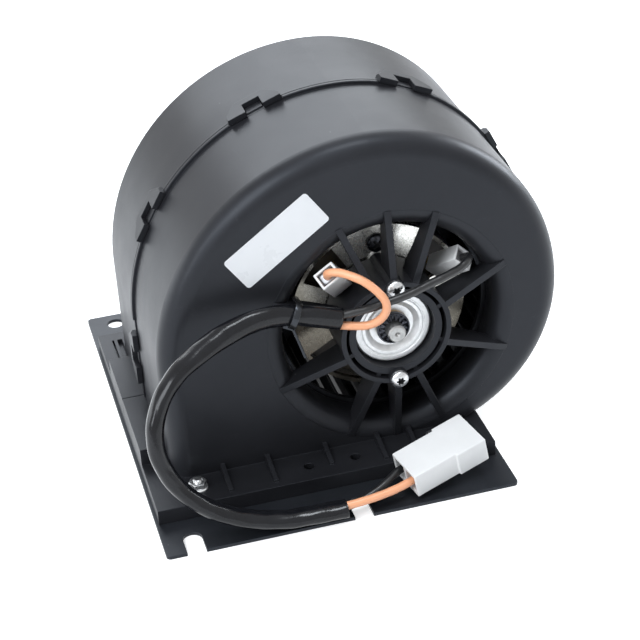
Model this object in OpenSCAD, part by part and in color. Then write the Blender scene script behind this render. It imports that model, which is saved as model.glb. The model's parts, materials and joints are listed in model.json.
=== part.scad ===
// Centrifugal blower with its own motor, standing outlet down on a sheet-metal plate.
// Lengths are in millimetres. X runs to the right along the plate's front edge, Y to the back, Z up.
// The origin is under the middle of the whole part. The shells' parting plane is y = 0.

/* [Mounting plate] */
// width of the plate along X
plate_w = 154.5; // [130:0.5:200]
// depth of the plate along Y
plate_d = 206; // [180:0.5:240]
// thickness of the sheet
plate_t = 1.5; // [1:0.1:3]
// width of the open slots and diameter of the rear holes
slot_w = 8.2; // [6:0.1:10]
// depth of the open slots from the front edge
slot_deep = 13.5; // [8:0.5:16]
// middle of the left slot
slot_left = -64.4; // [-68:0.1:-55]
// distance between the two slots
slot_gap = 72.5; // [50:0.5:80]
// distance of the rear holes from the back edge
hole_inset = 9; // [7:0.5:12]

/* [Scroll housing] */
// X of the wheel's axis
axis_x = 36.5; // [30:0.5:40]
// height of the wheel's axis above the plate
axis_h = 62.7; // [60:0.1:72]
// reach of the scroll from the axis to the left wall
scroll_left = 101.8; // [98:0.1:106]
// reach of the scroll above the axis
scroll_top = 88.9; // [85:0.1:95]
// reach of the scroll to the right of the axis
scroll_right = 76.7; // [75:0.1:82]
// front face in front of the parting plane
face_front = 60; // [58:0.5:66]
// back face behind the parting plane
face_back = 60; // [58:0.5:66]
// wall of both shells
wall = 2.5; // [2:0.1:3]
// rounding of the front edge
edge_r = 9; // [6:0.5:12]
// rounding of the back edge
back_edge_r = 3.5; // [3.2:0.1:6]
// right-hand edge of the outlet
outlet_right = 20; // [10:1:24]
// rounded nose of the tongue beside the outlet
tongue_r = 3; // [2:0.1:3.4]

/* [Inlets and spider] */
// throat radius of both inlets
throat_r = 47; // [46.5:0.1:49]
// rounding of the bell mouths
bell_r = 8; // [6:0.5:10]
// depth of the throats behind the faces
throat_deep = 14; // [12:0.5:15]
// outer radius of the motor hub
hub_r = 24.5; // [24:0.1:26]
// front of the hub in front of the parting plane
hub_front = 66; // [64:0.5:70]
// width of an arm
arm_w = 3; // [2.4:0.1:4]
// distance of the hub's two screws from the axis
hub_screw_r = 22.3; // [22:0.1:23]

/* [Foot] */
// left edge of the foot
foot_left = 76; // [74:0.5:77]
// right edge of the foot
foot_right = 75; // [70:0.5:77]
// front edge of the foot
foot_front = 80; // [78:0.5:86]
// back edge of the foot
foot_back = 73; // [70:0.5:80]
// height of the ledge
ledge_h = 7; // [6:0.5:9]
// height of the bar beside the left wall
bar_h = 15; // [12:0.5:18]
// distance of the left studs from the plate's middle
stud_left = 56; // [50:0.1:60]
// distance of the right studs from the plate's middle
stud_right = 50; // [46:0.1:60]
// distance between the two holes in the ledge
ledge_hole_gap = 21; // [15:0.5:25]

/* [Motor] */
// radius of the steel can
can_r = 39.2; // [38:0.1:40]
// steel thickness of the can
can_t = 1.6; // [1.2:0.1:2]
// front of the motor's end plate in front of the parting plane
motor_front = 40; // [39:0.5:42]
// radius of the shaft
shaft_r = 4; // [3.5:0.1:4.5]
// radius of the armature
armature_r = 27; // [25:0.5:27.5]
// slots of the armature
armature_slots = 10; // [8:1:12]

/* [Wheel] */
// outer radius of the wheel
wheel_r = 55; // [53:0.5:56]
// radial depth of the blades
blade_deep = 9; // [7:0.5:9.5]
// blades on each side of the disc
blade_count = 36; // [24:1:40]

/* [Leads] */
// diameter of a lead
wire_d = 3.6; // [3:0.1:3.8]
// diameter of the sleeve
sleeve_d = 8; // [7.6:0.1:8.4]

/* [Hidden] */
$fn = 64;
axis_z = plate_t + axis_h;
lip = 1.4;
// three arcs of the scroll, each joined to the next where both run straight up or level
arc_in = (3 * scroll_right - scroll_left - scroll_top - axis_h) / 4;
big_r = scroll_left + arc_in;
mid_r = scroll_right - arc_in;
small_r = scroll_top - mid_r + axis_h;
big_c = [arc_in, scroll_top - big_r, 0];
mid_c = [arc_in, scroll_top - mid_r, 0];
small_c = [scroll_right - small_r, scroll_top - mid_r, 0];
// joint between a shell and its inlet
seam = 0.1;
// raised lip on both sides of the parting plane
lip_w = 1.9;
lip_gap = 0.25;
lip_edge = 0.4;
lip_end = -60;
// snap clips: half length at the front and at the back, length behind and before the parting plane, height
clip_half = 12.6;
clip_tail = 7.6;
clip_side = 3.2;
clip_back = 11;
clip_over = 2.4;
clip_tall = 2.8;
clip_bevel = 1.1;
clip_window = 4.1;
window_back = 5.4;
clip_play = 0.3;
clip_root = 0.9;
tab_root = 1.3;
tab_up = 0.6;
clip_wall_z = 36.8;
clip_big = [149.6, 110.5];
clip_mid = [66.6, 26];
clip_small = [-22];
clip_reach = small_c[0] + (small_r + clip_tall) * cos(clip_small[0]) - clip_half * sin(clip_small[0]);
// middle of the plate, so that the part reaches equally far to the left and to the right
plate_x = (plate_w / 2 - axis_x - max(scroll_right + lip, clip_reach)) / 2;
// spider
arm_angles = [22.5, 67.5, 90, 112.5, 157.5, 202.5, 247.5, 270, 292.5, 337.5];
hub_back = motor_front + 1.2;
hub_wall = 2.2;
hub_in_wall = 3;
arm_tip = 0.5;
hub_boss_r = 4.2;
hub_head_r = 4;
hub_bolt_r = 2.5;
bolt_play = 0.2;
screw_up = 0.5;
screw_head_h = 3;
// foot
skin = 3;
stud_r = 2;
stud_play = 0.2;
stud_over = 4.6;
stud_head_r = 3;
stud_boss_r = 5;
nut_r = 4.05;
nut_h = 3.4;
nut_washer_r = 4.5;
// distances of the studs from the parting plane, to the front and to the back, left and right
stud_front = [68.6, 70];
stud_back = [67, 67];
bar_front = 44;
bar_back = 36;
bar_w = foot_left + axis_x - scroll_left + wall / 2;
pocket_right = 56;
// two grooves in the rear ledge beside the left wall: width and distance from the wall
groove = [[2.4, 0], [0.9, 4]];
groove_deep = 2;
groove_end = 66;
ledge_hole_r = 2.3;
ledge_hole_mid = 3.6;
ledge_hole_y = -70;
rib_w = 2;
rib_high = 3.6;
rib_low = 0.9;
rib_x = [-43, -23, 3, 26.5, 41.2];
rib_long = [16.4, 16.4, 12, 16.4, 16.4];
// wheel
wheel_front = face_front - throat_deep - 2;
wheel_back = face_back - throat_deep - 2;
disc_front = -6;
disc_t = 2.5;
ring_t = 2.5;
ring_over = 0.5;
ring_in = 0.3;
wheel_in = wheel_r - blade_deep;
wheel_hub_r = 11;
wheel_hub_back = 20;
blade_t = 1;
// motor, measured forward from the parting plane
plate_th = 2.5;
can_back = -3;
bush_r = 7;
run_gap = 0.05;
core_back = 8;
core_front = 26;
card_back = 30;
card_t = 2;
commutator_r = 10;
bar_cut = 0.8;
bar_gap = 0.5;
magnet_t = 8;
tie_r = 31.2;
tie_bolt_r = 2;
tie_head_r = 4.4;
cup_r = 17.2;
cup_play = 0.5;
cup_flange = 3.3;
cup_front = 60;
hub_in_r = cup_r + cup_play;
// windows of the end plate, as pairs of angles
window_angles = [[20, 58], [122, 152], [210, 264], [276, 330]];
window_rim = 1.8;
cup_t = 1.2;
cup_dish = 2;
ring_r = 6.3;
shaft_front = 67.2;
shaft_back = -24;
holder_w = 8.4;
holder_h = 5.2;
holder_t = 0.6;
holder_out = 29.6;
brush_gap = 0.3;
brush_out = 20;
// terminal housings: front middle from the axis, turn about the axis, tilt from it
left_front = [-27.6, 31.5, 61.5];
left_turn = 123;
left_tilt = 50;
right_front = [34.1, 24.9, 56];
right_turn = 45.5;
right_tilt = 46.5;
housing_w = 9.8;
housing_h = 8;
housing_long = 18;
housing_wall = 1.1;
housing_deep = 7.5;
tab_w = 6.3;
tab_t = 0.8;
tab_play = 0.2;
tab_in = 8;
tab_under = 1.6;
// cable tie on the arm at 157.5 degrees
tie_arm = 157.5;
tie_at = 45;
tie_tilt = 14;
tie_lean = 8;
tie_reach = 17.6;
tie_w = 2.8;
tie_t = 1.1;
tie_back = 53.6;
tie_long = 16;
tie_head = [5.2, 4, 5];
tie_head_z = 8.5;
tie_end_turn = 130;
tie_play = 0.4;
sleeve_play = 0.9;
belt_steps = 14;
// plug
plug_at = [46.5, -89.3, 13.9];
plug_turn = [5.2, -12, 12.7];
plug_long = 35.4;
plug_w = 18.6;
plug_h = 12;
plug_step = 1.15;
plug_step_at = 3.1;
plug_pitch = 8.8;
plug_cell = [7.2, 8.6];
plug_deep = 30;
contact_from = 10;
contact_w = 6.2;
contact_h = 3;
// label
label_size = [44.5, 17];
label_at = [-47.5, 51.1];
label_turn = 35;
label_t = 0.15;
// routes of the leads and of the sleeve, in order from the motor to the plug
orange_route = [[11.4, -57.6, 91.8], [8.9, -61.5, 95.7], [9, -64.6, 98.6], [12.5, -68, 99.8],
    [16.6, -72, 99.4], [21, -75.4, 97.6], [25.4, -77.6, 93.6], [28.6, -78.6, 88.6], [28.8, -78.4, 83.6],
    [26, -76.8, 79], [20.6, -74.4, 76.2], [10, -72, 77.4]];
black_route = [[67.4, -51.8, 86], [70.6, -56, 89.1], [71.6, -59.6, 91], [69.6, -63, 91],
    [65, -65.8, 89.7], [58, -68.6, 89], [50, -70.6, 87.8], [42, -72.6, 86.5], [33, -74, 85.4],
    [22, -73.8, 83.6], [11, -72.2, 82]];
sleeve_route = [[11, -72, 80.2], [2, -71.2, 82.6], [-8, -70.5, 85.2], [-17, -71, 86.8], [-26.2, -72.2, 86.9],
    [-36.5, -74.2, 85.2], [-47.4, -77.4, 82.2], [-59.6, -82, 76.8], [-67.6, -86, 70.2], [-72.8, -89.8, 61.6],
    [-74.8, -92.8, 51], [-72.8, -95.2, 40], [-66.6, -97.2, 28.4], [-56, -98.8, 18], [-42, -99.8, 10.4],
    [-26, -100.4, 6.2], [-11, -101, 5.7], [1, -101.2, 5.7]];
orange_tail_route = [[-1, -102, 7.4], [7.8, -101.8, 7.9], [16.6, -100.8, 8.4], [24.6, -99.2, 9],
    [30.7, -97.4, 9.8], [39.8, -95.3, 11.8]];
black_tail_route = [[-1, -99.8, 4.6], [7.8, -98.2, 5.8], [15.8, -96, 7.6], [22.2, -92.8, 9.2],
    [28.6, -88.9, 10.6], [37.8, -86.8, 12.5]];
wire_sides = 8;
sleeve_sides = 12;
wire_steps = 2;
sleeve_steps = 2;
// colours
plastic = [0.06, 0.06, 0.065];
black = [0.05, 0.05, 0.05];
steel = [0.72, 0.72, 0.7];
brass = [0.78, 0.6, 0.28];
bronze = [0.45, 0.36, 0.24];
white = [0.93, 0.93, 0.92];
orange = [0.95, 0.5, 0.3];

// Frames: over the middle of the plate, and on the wheel's axis with X right, Y up and Z to the front.
// on_axis stands inside on_plate; on_wheel is both.
module on_plate() {
    translate([plate_x, 0, 0]) children();
}

module on_axis() {
    translate([axis_x, 0, axis_z]) rotate([90, 0, 0]) children();
}

module on_wheel() {
    on_plate() on_axis() children();
}

module at_clips() {
    for (a = clip_big) translate(big_c) rotate(a) translate([big_r, 0, 0]) children();
    for (a = clip_mid) translate(mid_c) rotate(a) translate([mid_r, 0, 0]) children();
    for (a = clip_small) translate(small_c) rotate(a) translate([small_r, 0, 0]) children();
    translate([-scroll_left, clip_wall_z - axis_z, 0]) rotate(180) children();
}

// Scroll body: half section with a rounded corner, swept round three arcs and down the left wall
module edge_section(r, low, high, e) {
    translate([0, low]) square([r - e, high - low]);
    translate([0, low]) square([r, high - low - e]);
    translate([r - e, high - e]) circle(e);
}

module arc_body(c, r, from, to, low, high, e) {
    translate(c) rotate(from) rotate_extrude(angle = to - from) edge_section(r, low, high, e);
}

module scroll_body(inset, low, high, e) {
    floor_v = inset - axis_h;
    arc_body(big_c, big_r - inset, 90, 180, low, high, e);
    arc_body(mid_c, mid_r - inset, 0, 90, low, high, e);
    arc_body(small_c, small_r - inset, -90, 0, low, high, e);
    translate([big_c[0], floor_v, 0]) rotate([90, 0, 180]) linear_extrude(big_c[1] - floor_v)
        edge_section(big_r - inset, low, high, e);
    translate([big_c[0], floor_v, low]) cube([small_c[0] - big_c[0], mid_c[1] - floor_v, high - low]);
}

module lip_body() {
    arc_body(big_c, big_r + lip, 90, 180, lip_gap, lip_w, lip_edge);
    arc_body(mid_c, mid_r + lip, 0, 90, lip_gap, lip_w, lip_edge);
    arc_body(small_c, small_r + lip, lip_end, 0, lip_gap, lip_w, lip_edge);
    translate([-scroll_left - lip / 2, bar_h - axis_h, lip_gap])
        cube([wall, axis_h - bar_h + big_c[1], lip_w - lip_gap]);
}

// Opening in the bottom, between the left wall and the tongue
module outlet_cut(under, front, back) {
    translate([-scroll_left + wall, -axis_h - under, -back])
        cube([outlet_right - axis_x + scroll_left - wall, under + wall + 0.1, front + back]);
}

module bell(front) {
    rotate_extrude() {
        intersection() {
            translate([throat_r + bell_r, front - bell_r]) difference() {
                circle(bell_r);
                circle(bell_r - wall);
            }
            translate([throat_r, front - bell_r]) square(bell_r);
        }
        translate([throat_r, front - throat_deep]) square([wall, throat_deep - bell_r]);
    }
}

// Shell half without its foot: outer scroll, lip, hollow, inlet and tongue, towards +Z
module shell_cut(front, e) {
    scroll_wall = front - wall;
    scroll_body(wall, -1, scroll_wall, e - wall);
    translate([0, 0, scroll_wall - 1]) cylinder(r = throat_r + bell_r + seam, h = wall + 2);
    outlet_cut(plate_t, scroll_wall - skin, 1);
}

module tongue(front) {
    translate([outlet_right - axis_x + tongue_r, tongue_r - axis_h, 0])
        cylinder(r = tongue_r, h = front - wall / 2);
}

// Foot half towards +Y: a hollow ledge round the duct, and the higher bar beside the left wall
module foot_half(reach, face, bar_end, studs) {
    inside = foot_left + foot_right - 2 * wall;
    hollow = ledge_h - skin + 1;
    difference() {
        translate([-foot_left, 0, plate_t]) union() {
            cube([foot_left + foot_right, reach, ledge_h]);
            translate([0, lip_gap, 0]) cube([bar_w, bar_end - lip_gap, bar_h]);
        }
        difference() {
            translate([wall - foot_left, face + wall, plate_t - 1])
                cube([inside, reach - face - 2 * wall, hollow]);
            stud_columns(stud_boss_r, studs);
        }
        translate([wall - foot_left, wall, plate_t - 1])
            cube([bar_w - 3 * wall, bar_end - 2 * wall, bar_h - skin + 1]);
        translate([pocket_right, wall, plate_t - 1])
            cube([foot_right - wall - pocket_right, face - wall, hollow]);
        stud_columns(stud_r + stud_play, studs);
    }
}

module stud_columns(r, studs) {
    translate([-stud_left, studs[0], 0]) cylinder(r = r, h = bar_h + plate_t + 1);
    translate([stud_right, studs[1], 0]) cylinder(r = r, h = bar_h + plate_t + 1);
}

// Low ribs between a face of the scroll and the ledge, towards +Y
module foot_ribs(face) {
    for (i = [0 : len(rib_x) - 1]) translate([rib_x[i] - rib_w / 2, 0, plate_t]) rotate([90, 0, 90])
        linear_extrude(rib_w) polygon([
            [face, ledge_h - 1], [face, ledge_h + rib_high],
            [face + rib_long[i], ledge_h + rib_low], [face + rib_long[i], ledge_h - 1]]);
}

// Spider: hub of two rings, webs, screw bosses and the arms
module hub_ring(out_r, thick, top) {
    translate([0, 0, hub_back]) difference() {
        cylinder(r = out_r, h = top - hub_back);
        translate([0, 0, -1]) cylinder(r = out_r - thick, h = top - hub_back + 2);
    }
}

module at_hub_screws() {
    for (a = [90, 270]) rotate(a) translate([hub_screw_r, 0, 0]) children();
}

module arm() {
    mouth_r = throat_r + bell_r;
    translate([0, arm_w / 2, 0]) rotate([90, 0, 0]) linear_extrude(arm_w) polygon([
        [hub_r - hub_wall / 2, hub_front], [throat_r + 3, face_front + 1.6],
        [mouth_r + arm_tip, face_front + 0.35], [mouth_r + arm_tip, face_front - wall * 0.6],
        [throat_r + 4, face_front - wall * 0.88],
        [throat_r + 2, face_front - bell_r * 0.62], [throat_r + 1.2, face_front - bell_r * 0.8],
        [hub_r - hub_wall / 2, face_front - bell_r]]);
}

module spider() {
    difference() {
        union() {
            hub_ring(hub_r, hub_wall, hub_front);
            hub_ring(hub_in_r + hub_in_wall, hub_in_wall, hub_front - 1.2);
            for (a = arm_angles) rotate(a) {
                arm();
                translate([hub_in_r + hub_in_wall / 2, -1, hub_back])
                    cube([hub_r - hub_in_r - hub_in_wall / 2 - hub_wall / 2, 2, hub_front - hub_back - 2]);
            }
            at_hub_screws() translate([0, 0, hub_back])
                cylinder(r = hub_boss_r, h = hub_front - hub_back + screw_up);
        }
        at_hub_screws() translate([0, 0, hub_back - 1])
            cylinder(r = hub_bolt_r + bolt_play, h = hub_front - hub_back + 3);
        translate([0, 0, hub_back - 1]) cylinder(r = hub_in_r, h = hub_front - hub_back + 3);
    }
}

// Snap clips: a plate with a window on the rear half, and a tab of the front half inside the window
module clip_plate() {
    slant = atan2(clip_back - clip_side, clip_half - clip_tail);
    rotate([90, 0, 90]) difference() {
        union() {
            translate([0, 0, -clip_root]) linear_extrude(clip_tall + clip_root) polygon([
                [-clip_half, 0], [clip_half, 0], [clip_half, -clip_side], [clip_tail, -clip_back],
                [-clip_tail, -clip_back], [-clip_half, -clip_side]]);
            translate([0, 0, clip_play]) linear_extrude(clip_tall - clip_play) polygon([[-clip_half, -1],
                [clip_half, -1], [clip_half, clip_over], [-clip_half, clip_over]]);
        }
        translate([0, -clip_back, clip_tall]) bevel_cut(3 * clip_half);
        for (s = [-1, 1]) translate([s * clip_half, -clip_side, clip_tall]) rotate(s * slant)
            bevel_cut(3 * clip_half);
    }
}

module bevel_cut(long) {
    rotate([45, 0, 0]) cube([long, sqrt(2) * clip_bevel, sqrt(2) * clip_bevel], center = true);
}

module clip_hole() {
    translate([-tab_root, -clip_window, -window_back])
        cube([tab_root + clip_tall + 1, 2 * clip_window, window_back + clip_over + 1]);
}

module clip_tab() {
    translate([clip_play - tab_root, clip_play - clip_window, clip_play - window_back])
        cube([tab_root + tab_up - clip_play, 2 * (clip_window - clip_play), window_back - clip_play + 0.1]);
}

module clip_room() {
    translate([run_gap, -clip_half - clip_play, -1])
        cube([2 * clip_tall, 2 * (clip_half + clip_play), clip_over + 1 + clip_play]);
}

module front_shell() {
    color(plastic) on_plate() difference() {
        union() {
            difference() {
                union() {
                    on_axis() scroll_body(0, 0, face_front, edge_r);
                    on_axis() lip_body();
                    mirror([0, 1, 0]) foot_half(foot_front, face_front, bar_front, stud_front);
                }
                on_axis() shell_cut(face_front, edge_r);
                on_axis() at_clips() clip_room();
            }
            on_axis() {
                tongue(face_front);
                at_clips() clip_tab();
            }
            mirror([0, 1, 0]) foot_ribs(face_front);
        }
        for (s = [-1, 1]) translate([ledge_hole_mid + s * ledge_hole_gap / 2, ledge_hole_y, plate_t])
            cylinder(r = ledge_hole_r, h = ledge_h + 1);
    }
}

// Bell mouth of the front inlet, and the spider that carries the motor: both are of one moulding with the
// front shell, and are nodes of their own so that collision stays open between the arms
module front_inlet() {
    color(plastic) on_wheel() bell(face_front);
}

module motor_carrier() {
    mouth_r = throat_r + bell_r;
    color(plastic) on_wheel() difference() {
        spider();
        bell(face_front);
        pipe(mouth_r + bell_r, mouth_r, face_front - wall, face_front);
    }
}

module rear_shell() {
    color(plastic) on_plate() difference() {
        union() {
            difference() {
                union() {
                    on_axis() mirror([0, 0, 1]) scroll_body(0, 0, face_back, back_edge_r);
                    on_axis() mirror([0, 0, 1]) lip_body();
                    foot_half(foot_back, face_back, bar_back, stud_back);
                }
                on_axis() mirror([0, 0, 1]) shell_cut(face_back, back_edge_r);
            }
            on_axis() {
                mirror([0, 0, 1]) tongue(face_back);
                at_clips() clip_plate();
            }
            foot_ribs(face_back);
        }
        on_axis() at_clips() clip_hole();
        for (g = groove) translate([axis_x - scroll_left - g[0] - g[1], bar_back,
            plate_t + ledge_h - groove_deep]) cube([g[0], groove_end - bar_back, groove_deep + 1]);
    }
}

module rear_inlet() {
    color(plastic) on_wheel() mirror([0, 0, 1]) bell(face_back);
}

// Plate and its fasteners
module rounded_plate(w, d, r) {
    square([w - 2 * r, d], center = true);
    square([w, d - 2 * r], center = true);
    for (x = [-1, 1], y = [-1, 1]) translate([x * (w / 2 - r), y * (d / 2 - r)]) circle(r);
}

module at_studs() {
    for (y = [-stud_front[0], stud_back[0]]) translate([-stud_left, y, 0]) children();
    for (y = [-stud_front[1], stud_back[1]]) translate([stud_right, y, 0]) children();
}

module mounting_plate() {
    color(black) on_plate() difference() {
        linear_extrude(plate_t) difference() {
            rounded_plate(plate_w, plate_d, 2);
            for (x = [slot_left, slot_left + slot_gap]) {
                translate([x - slot_w / 2, -plate_d / 2 - 1]) square([slot_w, slot_deep - slot_w / 2 + 1]);
                translate([x, slot_deep - slot_w / 2 - plate_d / 2]) circle(slot_w / 2);
                translate([x, plate_d / 2 - hole_inset]) circle(slot_w / 2);
            }
            translate([axis_x - scroll_left + wall, skin + wall - face_front])
                square([outlet_right - axis_x + scroll_left - wall,
                    face_front + face_back - 2 * (skin + wall)]);
        }
        at_studs() {
            translate([0, 0, -1]) cylinder(r = stud_r + run_gap, h = plate_t + 2);
            translate([0, 0, -1]) cylinder(r = stud_head_r + run_gap, h = 1 + plate_t / 2);
        }
    }
}

module plate_studs() {
    color(steel) on_plate() at_studs() {
        cylinder(r = stud_r, h = plate_t + ledge_h + stud_over);
        cylinder(r = stud_head_r, h = plate_t / 2);
    }
}

module foot_nuts() {
    color(steel) on_plate() at_studs() translate([0, 0, plate_t + ledge_h]) difference() {
        union() {
            cylinder(r = nut_washer_r, h = 1);
            cylinder(r = nut_r, h = nut_h, $fn = 6);
        }
        translate([0, 0, -1]) cylinder(r = stud_r + run_gap, h = nut_h + 2);
    }
}

module label() {
    color(white) on_wheel() translate([label_at[0], label_at[1], face_front]) rotate(label_turn)
        linear_extrude(label_t) rounded_plate(label_size[0], label_size[1], 1.5);
}

// Screw with its head on z = 0 and its shank towards -Z; the children are cut from the head as the drive
module screw(head_r, r, long) {
    difference() {
        union() {
            cylinder(r = head_r, h = screw_head_h * 0.6);
            translate([0, 0, screw_head_h * 0.6])
                cylinder(r1 = head_r, r2 = head_r * 0.75, h = screw_head_h * 0.4);
            translate([0, 0, -long]) cylinder(r = r, h = long);
        }
        translate([0, 0, screw_head_h * 0.45]) children();
    }
}

module star_drive(r) {
    cylinder(r = r, h = screw_head_h);
    for (a = [0 : 60 : 300]) rotate(a) translate([r, 0, 0]) cylinder(r = r / 3, h = screw_head_h);
}

module cross_drive(r) {
    for (a = [45, 135]) rotate(a) translate([-r, -r / 4, 0]) cube([2 * r, r / 2, screw_head_h]);
}

module spider_screws() {
    color(steel) on_wheel() at_hub_screws() translate([0, 0, hub_front + screw_up])
        screw(hub_head_r, hub_bolt_r, hub_front + screw_up - motor_front + plate_th)
            star_drive(hub_head_r * 0.36);
}

module motor_tie_screws() {
    color(black) on_wheel() for (a = [90, 270]) rotate(a) translate([tie_r, 0, motor_front])
        screw(tie_head_r, tie_bolt_r, motor_front - can_back) cross_drive(tie_head_r * 0.6);
}

// Motor, fixed pieces
module pipe(out_r, in_r, low, high) {
    translate([0, 0, low]) difference() {
        cylinder(r = out_r, h = high - low);
        translate([0, 0, -1]) cylinder(r = in_r, h = high - low + 2);
    }
}

module motor_can() {
    color(steel) on_wheel() difference() {
        union() {
            pipe(can_r, can_r - can_t, can_back, motor_front - plate_th);
            pipe(can_r - can_t / 2, bush_r, can_back, can_back + can_t);
            pipe(bush_r + can_t, bush_r, can_back, can_back + bush_r);
        }
        for (a = [90, 270]) rotate(a) translate([tie_r, 0, can_back - 1])
            cylinder(r = tie_bolt_r, h = can_t + 2);
    }
}

module ring_sector(in_r, out_r, from, to, low, high) {
    translate([0, 0, low]) rotate(from) rotate_extrude(angle = to - from) translate([in_r, 0])
        square([out_r - in_r, high - low]);
}

module motor_end_plate() {
    color([0.62, 0.58, 0.45]) on_wheel() difference() {
        pipe(can_r, cup_r - 1.5, motor_front - plate_th, motor_front);
        for (a = window_angles) ring_sector(hub_r - 0.5, can_r - window_rim, a[0], a[1],
            motor_front - plate_th - 1, motor_front + 1);
        at_hub_screws() cylinder(r = hub_bolt_r, h = motor_front + 1);
        for (a = [90, 270]) rotate(a) translate([tie_r, 0, 0])
            cylinder(r = tie_bolt_r, h = motor_front + 1);
    }
}

module bearing_cup() {
    seat = cup_front - cup_dish;
    color(steel) on_wheel() difference() {
        union() {
            rotate_extrude() polygon([
                [cup_r + cup_flange, motor_front], [cup_r + cup_flange, hub_back], [cup_r, hub_back],
                [cup_r, cup_front - 0.8], [cup_r - 0.8, cup_front], [14.6, cup_front],
                [14.3, cup_front - 0.4], [13.8, cup_front - 0.4], [13.5, cup_front], [12.2, cup_front],
                [9.8, seat], [bush_r, seat], [bush_r, seat - 7.5], [bush_r + cup_t, seat - 7.5],
                [bush_r + cup_t, seat - cup_t],
                [9.3, seat - cup_t], [11.7, cup_front - cup_t], [cup_r - cup_t, cup_front - cup_t],
                [cup_r - cup_t, motor_front]]);
            at_hub_screws() translate([0, 0, motor_front])
                cylinder(r = hub_boss_r, h = hub_back - motor_front);
        }
        at_hub_screws() translate([0, 0, motor_front - 1]) cylinder(r = hub_bolt_r + bolt_play, h = 4);
        translate([0, 0, motor_front - 1]) cylinder(r = cup_r - cup_t, h = 4);
    }
}

module front_bearing() {
    color(bronze) on_wheel() pipe(bush_r, shaft_r + run_gap, cup_front - 10, cup_front - 1);
}

module rear_bearing() {
    color(bronze) on_wheel() pipe(bush_r, shaft_r + run_gap, can_back, can_back + bush_r);
}

module magnets() {
    out_r = can_r - can_t;
    color([0.2, 0.2, 0.21]) on_wheel() for (a = [-62, 118])
        ring_sector(out_r - magnet_t, out_r, a, a + 124, core_back - 4, core_front + 2);
}

module brush_card() {
    color([0.1, 0.09, 0.08]) on_wheel() difference() {
        pipe(can_r - can_t, commutator_r + 2.5, card_back, card_back + card_t);
        for (a = [90, 270]) rotate(a) translate([tie_r, 0, card_back - 1])
            cylinder(r = tie_bolt_r + bolt_play, h = card_t + 2);
    }
}

module brush_holders() {
    color(brass) on_wheel() for (a = [0, 180]) rotate(a)
        translate([commutator_r + 3, -holder_w / 2, card_back + card_t]) difference() {
            cube([holder_out - commutator_r - 3, holder_w, holder_h]);
            translate([-1, holder_t, holder_t])
                cube([holder_out - commutator_r - 2 - holder_t, holder_w - 2 * holder_t,
                    holder_h - 2 * holder_t]);
        }
}

module brushes() {
    play = 0.1;
    w = holder_w - 2 * holder_t - 2 * play;
    h = holder_h - 2 * holder_t - 2 * play;
    color([0.16, 0.15, 0.15]) on_wheel() for (a = [0, 180]) rotate(a)
        translate([commutator_r + brush_gap, -w / 2, card_back + card_t + holder_t + play])
            cube([brush_out - commutator_r - brush_gap, w, h]);
}

module brush_springs() {
    turns = 5;
    wire_r = 0.3;
    coil_r = 1.3;
    steps = 10;
    from = brush_out + wire_r;
    long = holder_out - holder_t - brush_out - 2 * wire_r;
    coil = [for (i = [0 : turns * steps]) [from + long * i / (turns * steps), coil_r * cos(i * 360 / steps),
        card_back + card_t + holder_h / 2 + coil_r * sin(i * 360 / steps)]];
    color(steel) on_wheel() for (a = [0, 180]) rotate(a) tube(coil, wire_r, 6, [1, 0, 0]);
}

// Terminals: a bent blade on the brush card, and a white housing pushed over it, open at the front
function housing_way(turn, tilt) = [sin(tilt) * cos(turn), sin(tilt) * sin(turn), cos(tilt)];

module at_housing(front, turn, tilt) {
    translate(front - housing_long * housing_way(turn, tilt)) rotate([0, tilt, turn]) children();
}

module terminal_tab(front, turn, tilt) {
    bend = front - (housing_long + tab_under - tab_t / 2) * housing_way(turn, tilt);
    at_housing(front, turn, tilt) translate([-tab_t / 2, -tab_w / 2, -tab_under])
        cube([tab_t, tab_w, tab_under + tab_in]);
    translate([bend[0], bend[1], card_back + card_t]) rotate(turn) translate([-tab_t / 2, -tab_w / 2, 0])
        cube([tab_t, tab_w, bend[2] - card_back - card_t + tab_t / 2]);
}

module terminal_tabs() {
    color(brass) on_wheel() {
        terminal_tab(left_front, left_turn, left_tilt);
        terminal_tab(right_front, right_turn, right_tilt);
    }
}

module terminal_housing(front, turn, tilt) {
    inner_w = housing_w - 2 * housing_wall;
    inner_h = housing_h - 2 * housing_wall;
    color(white) on_wheel() at_housing(front, turn, tilt) difference() {
        translate([-housing_h / 2, -housing_w / 2, 0]) cube([housing_h, housing_w, housing_long]);
        translate([-tab_t / 2 - tab_play, -tab_w / 2 - tab_play, -1])
            cube([tab_t + 2 * tab_play, tab_w + 2 * tab_play, tab_in + tab_play + 1]);
        translate([-inner_h / 2, -inner_w / 2, housing_long - housing_deep])
            cube([inner_h, inner_w, housing_deep + 1]);
    }
}

module terminal_housing_left() {
    terminal_housing(left_front, left_turn, left_tilt);
}

module terminal_housing_right() {
    terminal_housing(right_front, right_turn, right_tilt);
}

// Rotor
module shaft() {
    color(steel) on_wheel() difference() {
        union() {
            translate([0, 0, shaft_back]) cylinder(r = shaft_r, h = shaft_front - shaft_back - 0.6);
            translate([0, 0, shaft_front - 0.6]) cylinder(r1 = shaft_r, r2 = shaft_r - 0.6, h = 0.6);
        }
        translate([0, 0, shaft_front - 1.2]) cylinder(r1 = 0, r2 = 1.3, h = 1.3);
    }
}

module retaining_ring() {
    color(black) on_wheel() difference() {
        pipe(ring_r, shaft_r, cup_front - 0.4, cup_front + 3.8);
        pipe(ring_r - 0.7, shaft_r + 0.6, cup_front + 2.6, cup_front + 5);
    }
}

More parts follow.
